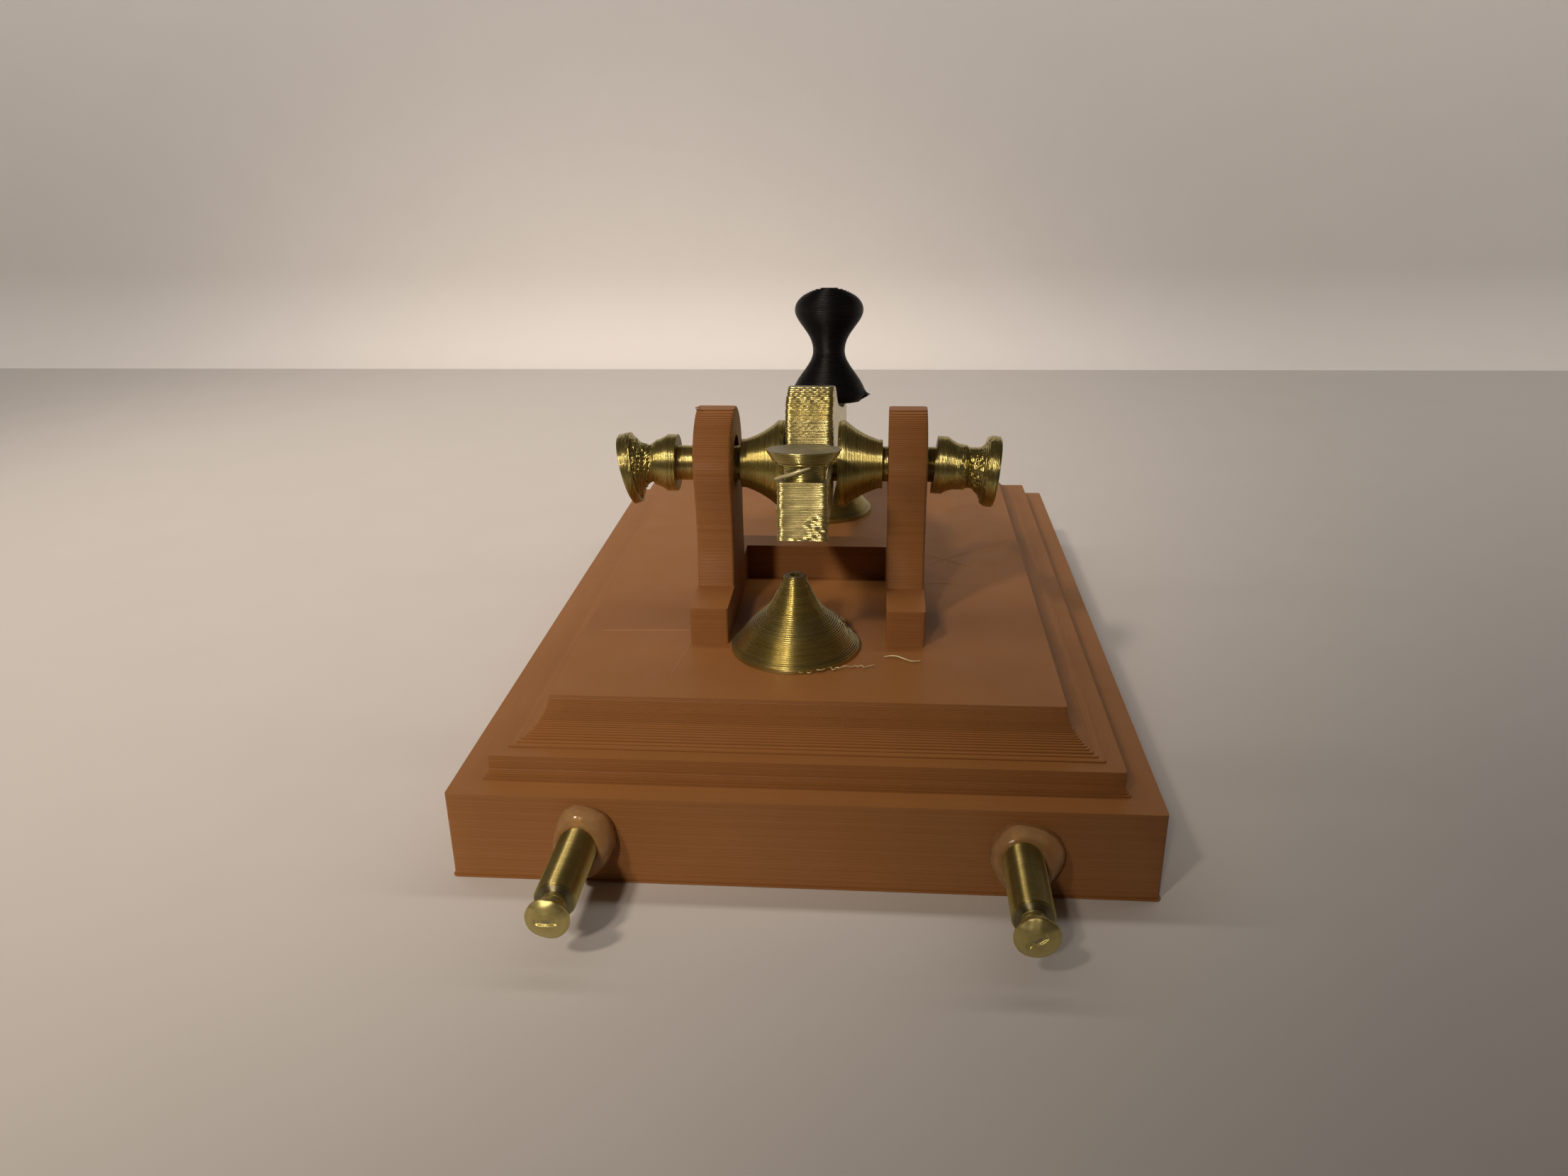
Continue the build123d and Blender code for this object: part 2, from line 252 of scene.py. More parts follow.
def piece(name, shell, placement, material, body, replaces=(), sharp=38):
    """A finished object that rides on a body and stands for its CAD nodes."""
    vertices, faces = shell
    mesh = bpy.data.meshes.new(name)
    mesh.from_pydata((vertices * MM).tolist(), [], faces)
    work = bmesh.new()
    work.from_mesh(mesh)
    bmesh.ops.remove_doubles(work, verts=work.verts, dist=1e-7)
    bmesh.ops.dissolve_degenerate(work, dist=1e-7, edges=work.edges)
    bmesh.ops.recalc_face_normals(work, faces=work.faces)
    work.to_mesh(mesh)
    work.free()
    mesh.polygons.foreach_set("use_smooth", [True] * len(mesh.polygons))
    mesh.set_sharp_from_angle(angle=math.radians(sharp))
    mesh.materials.append(material)
    made = bpy.data.objects.new(name, mesh)
    bpy.context.collection.objects.link(made)
    placed = placement.copy()
    placed.translation = placement.translation * MM
    made.matrix_world = placed
    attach(made, body)
    if replaces:
        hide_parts(*replaces)
    return made


def strand(name, path, thickness, placement, material, body):
    """A stray string of plastic: a thin tapered tube along a smooth path."""
    curve = bpy.data.curves.new(name, "CURVE")
    curve.dimensions = "3D"
    curve.bevel_depth = thickness / 2 * MM
    curve.bevel_resolution = 3
    curve.use_fill_caps = True
    curve.resolution_u = 6
    spline = curve.splines.new("NURBS")
    spline.points.add(len(path) - 1)
    for index, point in enumerate(path):
        spline.points[index].co = (point[0] * MM, point[1] * MM, point[2] * MM, 1)
        end_share = min(index, len(path) - 1 - index) / (len(path) - 1)
        spline.points[index].radius = 0.55 + 0.45 * min(1, end_share * 4)
    spline.order_u = 3
    spline.use_endpoint_u = True
    drawn = bpy.data.objects.new(name + "_path", curve)
    bpy.context.collection.objects.link(drawn)
    bpy.context.view_layer.update()
    mesh = bpy.data.meshes.new_from_object(drawn)
    bpy.data.objects.remove(drawn)
    mesh.name = name
    mesh.materials.clear()
    mesh.materials.append(material)
    mesh.polygons.foreach_set("use_smooth", [True] * len(mesh.polygons))
    made = bpy.data.objects.new(name, mesh)
    bpy.context.collection.objects.link(made)
    placed = placement.copy()
    placed.translation = placement.translation * MM
    made.matrix_world = placed
    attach(made, body)
    return made


# ---- materials ---------------------------------------------------------------------------------
class Recipe:
    """Builds one node material."""

    def __init__(self, name):
        self.material = bpy.data.materials.new(name)
        self.material.use_nodes = True
        self.tree = self.material.node_tree
        self.shader = self.tree.nodes["Principled BSDF"]
        self.place = self.add("ShaderNodeTexCoord").outputs["Object"]

    def add(self, kind, **settings):
        node = self.tree.nodes.new(kind)
        for key, value in settings.items():
            setattr(node, key, value)
        return node

    def link(self, source, target):
        self.tree.links.new(source, target)

    def math(self, operation, first, second=None, third=None):
        node = self.add("ShaderNodeMath", operation=operation)
        for index, value in enumerate((first, second, third)):
            if value is None:
                continue
            if isinstance(value, (int, float)):
                node.inputs[index].default_value = value
            else:
                self.link(value, node.inputs[index])
        return node.outputs[0]

    def stretched(self, scale):
        node = self.add("ShaderNodeVectorMath", operation="MULTIPLY")
        self.link(self.place, node.inputs[0])
        node.inputs[1].default_value = scale
        return node.outputs[0]

    def noise(self, scale, detail=3.0, roughness=0.55):
        node = self.add("ShaderNodeTexNoise")
        node.inputs["Scale"].default_value = 1.0
        node.inputs["Detail"].default_value = detail
        node.inputs["Roughness"].default_value = roughness
        self.link(self.stretched(scale), node.inputs["Vector"])
        return node.outputs["Fac"]

    def ranged(self, value, low, high, to_low, to_high):
        node = self.add("ShaderNodeMapRange")
        self.link(value, node.inputs["Value"])
        node.inputs["From Min"].default_value = low
        node.inputs["From Max"].default_value = high
        node.inputs["To Min"].default_value = to_low
        node.inputs["To Max"].default_value = to_high
        return node.outputs["Result"]

    def mixed(self, share, first, second):
        node = self.add("ShaderNodeMix", data_type="RGBA")
        self.link(share, node.inputs["Factor"])
        for socket, value in ((node.inputs["A"], first), (node.inputs["B"], second)):
            colour_socket = [s for s in node.inputs if s.name == socket.name and s.type == "RGBA"][0]
            if isinstance(value, tuple):
                colour_socket.default_value = value
            else:
                self.link(value, colour_socket)
        return [s for s in node.outputs if s.type == "RGBA"][0]

    def bump(self, height, strength, distance, normal=None):
        node = self.add("ShaderNodeBump")
        node.inputs["Strength"].default_value = strength
        node.inputs["Distance"].default_value = distance
        self.link(height, node.inputs["Height"])
        if normal is not None:
            self.link(normal, node.inputs["Normal"])
        return node.outputs["Normal"]


def layer_shade(recipe):
    """A number between 0 and 1 that changes from one printed layer to the next."""
    parts = recipe.add("ShaderNodeSeparateXYZ")
    recipe.link(recipe.place, parts.inputs[0])
    level = recipe.math("MULTIPLY", parts.outputs["Z"], 1 / (layer_height * MM))
    level = recipe.math("FLOOR", recipe.math("ADD", level, 0.001))
    noise = recipe.add("ShaderNodeTexWhiteNoise", noise_dimensions="1D")
    recipe.link(level, noise.inputs["W"])
    return noise.outputs["Value"]


def flat_strokes(recipe):
    """How far a face is a flat top or bottom of the print, and the nozzle's strokes on such a face."""
    facing = recipe.add("ShaderNodeTexCoord")
    parts = recipe.add("ShaderNodeSeparateXYZ")
    recipe.link(facing.outputs["Normal"], parts.inputs[0])
    flat = recipe.ranged(recipe.math("ABSOLUTE", parts.outputs["Z"]), 0.985, 0.998, 0.0, 1.0)
    wave = recipe.add("ShaderNodeTexWave", wave_type="BANDS", bands_direction="DIAGONAL")
    wave.inputs["Scale"].default_value = 1.0
    wave.inputs["Distortion"].default_value = 0.6
    wave.inputs["Detail"].default_value = 1.0
    recipe.link(recipe.stretched((640, 640, 0)), wave.inputs["Vector"])
    return flat, recipe.math("MULTIPLY", wave.outputs["Fac"], flat)


def brown_plastic(name, dark, light):
    recipe = Recipe(name)
    shade = layer_shade(recipe)
    streaks = recipe.noise((260, 260, 5200), detail=2)
    cloud = recipe.noise((90, 90, 90), detail=2)
    total = recipe.math("ADD", recipe.math("MULTIPLY", shade, 0.30), recipe.math("MULTIPLY", streaks, 0.08))
    total = recipe.math("ADD", total, recipe.math("MULTIPLY", cloud, 0.5))
    share = recipe.ranged(total, 0.30, 0.70, 0.0, 1.0)
    colour = recipe.mixed(share, dark, light)
    recipe.link(colour, recipe.shader.inputs["Base Color"])
    recipe.link(recipe.ranged(streaks, 0.3, 0.7, 0.44, 0.52), recipe.shader.inputs["Roughness"])
    recipe.shader.inputs["Specular IOR Level"].default_value = 0.3

    _, strokes = flat_strokes(recipe)
    grain = recipe.noise((3000, 3000, 3000), detail=2)
    height = recipe.math("ADD", recipe.math("MULTIPLY", strokes, 0.5), recipe.math("MULTIPLY", grain, 0.35))
    recipe.link(recipe.bump(height, 0.25, 0.00004), recipe.shader.inputs["Normal"])
    return recipe.material


def silk_plastic(name, low_rough, high_rough, stretch, dark, light):
    """Gold silk plastic. Its highlights are stretched along the print direction, across the layer lines."""
    recipe = Recipe(name)
    shade = layer_shade(recipe)
    streaks = recipe.noise((420, 420, 5200), detail=2)
    total = recipe.math("ADD", recipe.math("MULTIPLY", shade, 0.5), recipe.math("MULTIPLY", streaks, 0.5))
    share = recipe.ranged(total, 0.25, 0.75, 0.0, 1.0)
    rounded_colour = recipe.mixed(share, dark, light)
    flat, strokes = flat_strokes(recipe)
    # Flat tops and bottoms get a greyer tint as painted reflection of the pale backdrop; their extra
    # roughness and nozzle strokes are their own.
    colour = recipe.mixed(flat, rounded_colour, (0.37, 0.34, 0.215, 1))
    recipe.link(colour, recipe.shader.inputs["Base Color"])
    recipe.shader.inputs["Metallic"].default_value = 0.95
    rough = recipe.ranged(streaks, 0.3, 0.7, low_rough, high_rough)
    recipe.link(recipe.math("MULTIPLY_ADD", flat, 0.16, rough), recipe.shader.inputs["Roughness"])
    around = recipe.add("ShaderNodeTangent", direction_type="RADIAL", axis="Z")
    recipe.link(around.outputs["Tangent"], recipe.shader.inputs["Tangent"])
    recipe.shader.inputs["Anisotropic"].default_value = stretch
    recipe.shader.inputs["Anisotropic Rotation"].default_value = 0.25
    grain = recipe.noise((900, 900, 6000), detail=3)
    height = recipe.math("MULTIPLY_ADD", strokes, 0.4, grain)
    recipe.link(recipe.bump(height, 0.14, 0.00003), recipe.shader.inputs["Normal"])
    return recipe.material


def pale_string(name):
    """Thin strings of the gold plastic, stretched until they are pale."""
    recipe = Recipe(name)
    tone = recipe.noise((700, 700, 700), detail=2)
    share = recipe.ranged(tone, 0.3, 0.7, 0.0, 1.0)
    colour = recipe.mixed(share, (0.60, 0.53, 0.28, 1), (0.74, 0.67, 0.42, 1))
    recipe.link(colour, recipe.shader.inputs["Base Color"])
    recipe.link(recipe.ranged(tone, 0.3, 0.7, 0.28, 0.38), recipe.shader.inputs["Roughness"])
    recipe.shader.inputs["Metallic"].default_value = 0.35
    return recipe.material


def black_plastic(name):
    recipe = Recipe(name)
    streaks = recipe.noise((420, 420, 5200), detail=2)
    share = recipe.ranged(streaks, 0.3, 0.7, 0.0, 1.0)
    colour = recipe.mixed(share, (0.003, 0.003, 0.0033, 1), (0.006, 0.006, 0.0066, 1))
    recipe.link(colour, recipe.shader.inputs["Base Color"])
    recipe.link(recipe.ranged(streaks, 0.3, 0.7, 0.34, 0.44), recipe.shader.inputs["Roughness"])
    recipe.shader.inputs["Specular IOR Level"].default_value = 0.2
    grain = recipe.noise((1500, 1500, 5000), detail=3)
    recipe.link(recipe.bump(grain, 0.2, 0.00004), recipe.shader.inputs["Normal"])
    return recipe.material


def clear_glue(name):
    recipe = Recipe(name)
    haze = recipe.noise((500, 500, 500), detail=3)
    share = recipe.ranged(haze, 0.35, 0.7, 0.0, 1.0)
    colour = recipe.mixed(share, (0.55, 0.30, 0.12, 1), (0.68, 0.42, 0.19, 1))
    recipe.link(colour, recipe.shader.inputs["Base Color"])
    recipe.link(recipe.ranged(haze, 0.4, 0.8, 0.02, 0.06), recipe.shader.inputs["Roughness"])
    recipe.shader.inputs["Transmission Weight"].default_value = 0.6
    recipe.shader.inputs["IOR"].default_value = glue_index
    swell = recipe.noise((700, 700, 700), detail=1)
    recipe.link(recipe.bump(swell, 0.08, 0.0002), recipe.shader.inputs["Normal"])
    return recipe.material


def paper(name, dark, light):
    recipe = Recipe(name)
    fibre = recipe.noise((60, 60, 60), detail=4)
    colour = recipe.mixed(fibre, dark, light)
    recipe.link(colour, recipe.shader.inputs["Base Color"])
    recipe.shader.inputs["Roughness"].default_value = 0.9
    recipe.shader.inputs["Specular IOR Level"].default_value = 0.1
    return recipe.material


brown = brown_plastic("brown_print", (0.258, 0.110, 0.031, 1), (0.298, 0.130, 0.041, 1))
pale_brown = brown_plastic("brown_scar", (0.42, 0.24, 0.12, 1), (0.50, 0.30, 0.16, 1))
# gold_print and the lever's gold are one gold plastic in two copies: the lever's copy is lighter as painted
# highlight, and gold_print is darkened as painted shade on the turned parts.
gold = silk_plastic("gold_print", 0.26, 0.32, 0.5, (0.44, 0.375, 0.13, 1), (0.55, 0.47, 0.18, 1))
lever_gold_painted_highlight = silk_plastic("gold_lever", 0.27, 0.33, 0.5, (0.55, 0.48, 0.20, 1), (0.68, 0.60, 0.27, 1))
# The posts' gold is a darker copy as painted shade on their flanks; its stronger stretch of highlights is
# its own finish.
smooth_gold_painted_shade = silk_plastic("gold_smooth", 0.36, 0.40, 1.0, (0.44, 0.37, 0.13, 1), (0.52, 0.44, 0.17, 1))
dull_gold = silk_plastic("gold_dull", 0.38, 0.46, 0.3, (0.50, 0.43, 0.165, 1), (0.60, 0.52, 0.215, 1))
pale_gold = pale_string("gold_string")
black = black_plastic("black_gloss")
glue = clear_glue("clear_glue")


# ---- base --------------------------------------------------------------------------------------
def base():
    low, high = local_box("base_plinth", Matrix())
    section = sections("base_plinth", Matrix())

    def outline_at(height):
        cut = section(height)
        half_x, half_y = np.abs(cut).max(axis=0)
        corners = ((half_x, -half_y), (half_x, half_y), (-half_x, half_y), (-half_x, -half_y))
        return rounded(corners, 0.35, (44, 30), arc_points=3)

    wobble = waves(11, 18)
    jitter = random.Random(5)
    drift = [jitter.uniform(-0.004, 0.004) for _ in range(200)]

    def rough(points, layer):
        bulge = first_layer_bulge if layer == 0 else 0.0
        return wobble(points) * 0.006 + drift[layer] + bulge

    rows = layers(outline_at, low[2], high[2], rough)
    piece("base_body", skin(rows), Matrix(), brown, "base", ["base_plinth"])
    return high[2]


# ---- bearing frame -----------------------------------------------------------------------------
def bearing_frame(deck):
    low, high = local_box("bearing_frame", Matrix())
    section = sections("bearing_frame", Matrix())
    middle_x = (low[0] + high[0]) / 2
    foot_top = deck + foot_height
    foot_cut = section(deck + 1.0)
    above = section(foot_top + 4.0)
    outer = high[0] - middle_x
    inner = np.abs(above[:, 0] - middle_x).min()
    axle_y = joints["lever_rock"]["pos_m"][1] / MM
    bar_back = foot_cut[np.abs(foot_cut[:, 0] - middle_x) < inner - 1][:, 1].max()

    def foot_outline(height):
        corners = (
            (middle_x - outer, low[1]),
            (middle_x + outer, low[1]),
            (middle_x + outer, high[1]),
            (middle_x + inner, high[1]),
            (middle_x + inner, bar_back),
            (middle_x - inner, bar_back),
            (middle_x - inner, high[1]),
            (middle_x - outer, high[1]),
        )
        return rounded(corners, upright_edge * 0.7, (8,), arc_points=3)

    wobble = waves(21, 7)

    def rough(points, layer):
        return wobble(points) * 0.012

    shells = [skin(layers(foot_outline, deck, foot_top, rough))]
    for side in (-1, 1):
        centre_x = middle_x + side * (outer + inner) / 2
        thick = (outer - inner) / 2
        shells += upright(section, foot_top, high[2], centre_x, thick, axle_y)
    piece("bearing_frame_body", joined(*shells), Matrix(), brown, "base", ["bearing_frame"])


def upright(section, foot_top, top, centre_x, thick, axle_y):
    """Two half stacks that meet above and below the bearing hole."""
    count = round((top - foot_top) / layer_height)
    pitch = (top - foot_top) / count
    shells = []
    for half in (-1, 1):
        rows = []
        for layer in range(count):
            foot = foot_top + layer * pitch
            middle = foot + pitch / 2
            cut = section(middle)
            own = cut[np.abs(cut[:, 0] - centre_x) < thick + 0.1]
            reach = np.abs(own[:, 1] - axle_y).max()
            away = max(0, abs(middle - bearing_centre_z) - pitch / 2)
            hole = math.sqrt(max(0, bearing_radius**2 - away**2))
            for share, inset in layer_rows:
                groove = inset * layer_groove
                height = foot + share * pitch
                if layer == 0 and share == layer_rows[0][0]:
                    height = foot_top - 0.1
                if layer == count - 1 and share == layer_rows[-1][0]:
                    height = top
                half_hole = hole + groove * (hole > 0)
                rows.append(upright_row(half, height, reach - groove, thick - groove, half_hole))
        vertices = np.concatenate(rows) + np.array((centre_x, axle_y, 0))
        chain = len(rows[0])
        faces = []
        for row in range(len(rows) - 1):
            lower = row * chain
            upper = lower + chain
            for index in range(chain - 1):
                faces.append((lower + index, lower + index + 1, upper + index + 1, upper + index))
            open_here = abs(rows[row][0][1]) > 0 or abs(rows[row + 1][0][1]) > 0
            if open_here:
                faces.append((lower + chain - 1, lower, upper, upper + chain - 1))
        shells.append((vertices, faces))
    front, rear = shells
    chain = len(rows[0])
    total = len(front[0])
    last = total - chain
    cap_low = list(range(chain)) + list(range(total, total + chain))[::-1]
    cap_high = list(range(last, last + chain)) + list(range(total + last, total + last + chain))[::-1]
    vertices, faces = joined(front, rear)
    faces += [tuple(cap_low), tuple(cap_high)]
    return [(vertices, faces)]


def upright_row(half, height, reach, thick, hole):
    """One open chain round half of an upright, from its right side face to its left one."""
    edge = min(upright_edge, reach * 0.5)
    chain = [(thick, hole)]
    for step in range(4):
        angle = math.pi / 2 * step / 3
        chain.append((thick - edge + edge * math.cos(angle), reach - edge + edge * math.sin(angle)))
    for step in range(4):
        angle = math.pi / 2 * (1 + step / 3)
        chain.append((-thick + edge + edge * math.cos(angle), reach - edge + edge * math.sin(angle)))
    chain.append((-thick, hole))
    return np.array([(x, half * y, height) for x, y in chain])


# ---- turned pieces -----------------------------------------------------------------------------
def turned(
    name,
    node,
    placement,
    material,
    body,
    rough=None,
    hole=0.0,
    hole_depth=0.0,
    bore=0.0,
    groove=silk_groove,
    points=circle_points,
):
    """A node of revolution as printed rings, with a blind hole in its top or a bore right through."""
    low, high = local_box(node, placement)
    section = sections(node, placement)

    def outline_at(height):
        return circle(np.hypot(*section(height).T).max(), points)

    rows = layers(outline_at, low[2], high[2], rough, groove)
    if bore:
        rows.append(raised(circle(bore), high[2]))
        rows.append(raised(circle(bore), low[2]))
        shell = skin(rows, closed=True)
    elif hole:
        rows.append(raised(circle(hole), high[2]))
        rows.append(raised(circle(hole), high[2] - hole_depth))
        shell = skin(rows)
    else:
        shell = skin(rows)
    return piece(name, shell, placement, material, body, [node])


def in_layer(points, layer, step=0.8):
    """The points with a height that jumps from layer to layer, so that each layer wavers in its own way."""
    return np.column_stack((points[:, :2], np.full(len(points), layer * step)))


def wobbly(seed, amount=0.006, wavelength=3.0, drift=0.004):
    wobble = waves(seed, wavelength)
    rng = random.Random(seed)
    shifts = [rng.uniform(-drift, drift) for _ in range(600)]

    def rough(points, layer):
        return wobble(in_layer(points, layer)) * amount + shifts[layer]

    return rough


def anvil(node, seed, patch_angle, patch_size):
    """A bell-shaped post, with a rough patch where the nozzle started its rings."""
    low, high = local_box(node, Matrix())
    placement = standing((low[0] + high[0]) / 2, (low[1] + high[1]) / 2, low[2])
    even = wobbly(seed)
    blobs = waves(seed + 1, 0.9)
    patch = (6.3 * math.cos(patch_angle), 6.3 * math.sin(patch_angle), 2.6)

    def rough(points, layer):
        spot = near(points, patch, patch_size)
        return even(points, layer) + spot * np.clip(blobs(points), -0.3, 1.2) * 0.32

    turned(f"{node}_body", node, placement, gold, "base", rough, hole=0.6, hole_depth=2.0)


def cone(node, direction, seed):
    low, high = local_box(node, Matrix())
    start = low[0] if direction > 0 else high[0]
    placement = pointing(start, (low[1] + high[1]) / 2, (low[2] + high[2]) / 2, (direction, 0, 0))
    turned(f"{node}_body", node, placement, gold, "rocker", wobbly(seed), bore=2.33)


def axle():
    low, high = local_box("axle", Matrix())
    placement = pointing(low[0], (low[1] + high[1]) / 2, (low[2] + high[2]) / 2, (1, 0, 0))
    turned("axle_body", "axle", placement, gold, "rocker", wobbly(31), points=80)


def thumbscrew(node, direction, seed, lean, droop, lean_from, mess, waist_at, waist_cut):
    """A spool that printed badly: it leans and droops, and its waist is ragged.
    The lean starts at a share of the length, and a share of 0 tilts the whole spool."""
    low, high = local_box(node, Matrix())
    start = low[0] if direction > 0 else high[0]
    placement = pointing(start, (low[1] + high[1]) / 2, (low[2] + high[2]) / 2, (direction, 0, 0))
    length = high[0] - low[0]
    section = sections(node, placement)
    even = wobbly(seed, 0.010, 2.0, 0.008)
    blobs = waves(seed + 1, 1.0)
    lumps = waves(seed + 2, 2.6)
    down = placement.inverted().to_3x3() @ Vector((0, 0.3, -1))
    down = np.array(down.normalized())[:2]

    def outline_at(height):
        return circle(np.hypot(*section(height).T).max())

    def rough(points, layer):
        height = points[:, 2]
        waist = np.exp(-(((height / length - waist_at) * 7) ** 4))
        messy = np.exp(-(((height - 0.62 * length) / 1.5) ** 2)) * mess
        own = in_layer(points, layer, 0.35)
        return even(points, layer) - waist_cut * waist + messy * (blobs(own) * 0.18 + lumps(points) * 0.10)

    vertices, faces = skin(layers(outline_at, 0, length, rough, silk_groove))
    side = vertices[:, :2] @ down / 4.6
    far = np.clip((vertices[:, 2] / length - lean_from) / (1 - lean_from), 0, 1)
    leaning = far if lean_from else 1
    vertices[:, 2] -= leaning * (0.5 * (lean_from > 0) + 0.5 * side) * lean
    vertices[:, :2] += (far**1.3 * droop)[:, None] * down
    piece(f"{node}_body", (vertices, faces), placement, gold, node, [node])


# ---- lever -------------------------------------------------------------------------------------
def lever_frame():
    """The lever's own frame: its origin on the axle, its Z square to the lever's underside."""
    pivot = Vector(joints["lever_rock"]["pos_m"]) / MM
    normal = Vector(joints["tail_screw_turn"]["axis"])
    tilt = math.atan2(-normal[1], normal[2])
    return Matrix.Translation(pivot) @ Matrix.Rotation(tilt, 4, "X")


def lever(placement):
    """The lever in three stacks: below the arm's underside, from there to the tail's top, and above it."""
    low, high = local_box("lever", placement)
    section = sections("lever", placement)
    tail_y = high[1]
    half_width = (high[0] - low[0]) / 2
    underside = -4.66
    tail_top = 0.2

    def outline_at(height):
        cut = section(height)
        near_end, far_end = cut[:, 1].min(), cut[:, 1].max()
        corner = min(lever_corner, (far_end - near_end) / 2 * 0.9)
        corners = (
            (half_width, near_end),
            (half_width, far_end),
            (-half_width, far_end),
            (-half_width, near_end),
        )
        return rounded(corners, corner, (92, 22))

    even = wobbly(41, 0.003, 3.0, 0.002)
    blobs = waves(42, 0.75)
    small = waves(43, 0.45)
    jitter = random.Random(44)
    jags = [jitter.uniform(-0.04, 0.04) for _ in range(200)]

    def rough(points, layer):
        from_middle = np.abs(points[:, 0])
        spot = near(points, (-half_width + 0.6, tail_y, -5.4), 2.6)
        foot = near(points * np.array((0.35, 1, 1)), (0, tail_y, -6.8), 0.9)
        crest = np.clip((points[:, 2] - 6.9) / 1.4, 0, 1) * (points[:, 1] > -6)
        face = near(points, (0.6, 4.2, 5.6), 2.8)
        rear = points[:, 1] > 1.5
        edge = np.clip((from_middle - 2.3) / 0.5, 0, 1)
        offset = even(points, layer)
        offset += rear * 0.08 * np.clip((from_middle - 1.0) / 2.0, 0, 1) ** 2
        offset += rear * edge * jags[layer]
        own = in_layer(points, layer, 0.3)
        offset += (spot * 0.8 + foot * 0.5) * np.clip(blobs(own), -0.4, 1.2) * 0.16
        offset += face * small(own) * 0.010
        offset += crest * (0.035 * (layer % 2) + 0.02 * small(own))
        return offset

    def stack(start, end):
        return skin(layers(outline_at, start, end, rough, silk_groove))

    shells = [stack(low[2], underside + 0.05), stack(underside, tail_top), stack(tail_top - 0.1, high[2])]
    # The lever's gold is a lighter copy of gold_print, as painted highlight.
    piece("lever_body", joined(*shells), placement, lever_gold_painted_highlight, "rocker", ["lever"])


def on_lever(node, lever_place):
    """The placement of a turned node that stands on the lever."""
    low, high = local_box(node, lever_place)
    middle = (low + high) / 2
    return lever_place @ Matrix.Translation((middle[0], middle[1], low[2]))


def knob(lever_place):
    """The knob's foot has a ragged drip on its left side."""
    even = wobbly(121)
    ragged = waves(122, 0.9)

    def rough(points, layer):
        drip = near(points, (-6.5, 0.8, 0.9), 1.5)
        foot = np.clip(1 - points[:, 2] / 1.4, 0, 1)
        return even(points, layer) + drip * (0.55 + 0.3 * ragged(points)) + foot * ragged(points) * 0.05

    placement = on_lever("knob", lever_place)
    turned("knob_body", "knob", placement, black, "rocker", rough)


# ---- binding posts and their glue --------------------------------------------------------------
def rear_post(side_name, seed):
    node = f"{side_name}_binding_post"
    low, high = local_box(node, Matrix())
    placement = pointing((low[0] + high[0]) / 2, low[1], (low[2] + high[2]) / 2, (0, 1, 0))
    even = wobbly(seed, 0.004, 4.0, 0.002)
    # The post's darker gold is painted shade.
    turned(f"{node}_body", node, placement, smooth_gold_painted_shade, "base", even, groove=0.03)


def slotted_head(side_name, seed, slot_angle):
    """The terminal's screw: printed rings, then a domed face with a short slot in it."""
    node = f"{side_name}_binding_screw"
    low, high = local_box(node, Matrix())
    placement = pointing((low[0] + high[0]) / 2, low[1], (low[2] + high[2]) / 2, (0, 1, 0))
    length = high[1] - low[1]
    crown = 0.75
    section = sections(node, placement)
    even = wobbly(seed, 0.030, 2.0, 0.010)

    def outline_at(height):
        return circle(np.hypot(*section(height).T).max())

    rows = layers(outline_at, 0, length - crown, even, 0.015)
    rim = np.hypot(rows[-1][:, 0], rows[-1][:, 1])
    angles = np.arange(circle_points) * 2 * math.pi / circle_points
    slot_width, slot_depth = terminal_slot
    lumps = waves(seed + 1, 1.3)
    face_rings = 34
    for ring in range(1, face_rings):
        share = 1 - ring / face_rings
        radius = rim * share
        points = np.column_stack((np.cos(angles) * radius, np.sin(angles) * radius))
        along = points[:, 0] * math.cos(slot_angle) + points[:, 1] * math.sin(slot_angle)
        across = -points[:, 0] * math.sin(slot_angle) + points[:, 1] * math.cos(slot_angle)
        inside = np.clip((slot_width / 2 + 0.06 - np.abs(across)) / 0.12, 0, 1)
        inside *= np.clip((terminal_slot_reach - np.abs(along)) / 0.5, 0, 1)
        height = length - crown + crown * (1 - share**2)
        height = height - inside * slot_depth
        height = height + lumps(raised(points, length)) * 0.04 * share
        rows.append(np.column_stack((points, height)))
    piece(f"{node}_body", skin(rows), placement, dull_gold, node, [node])


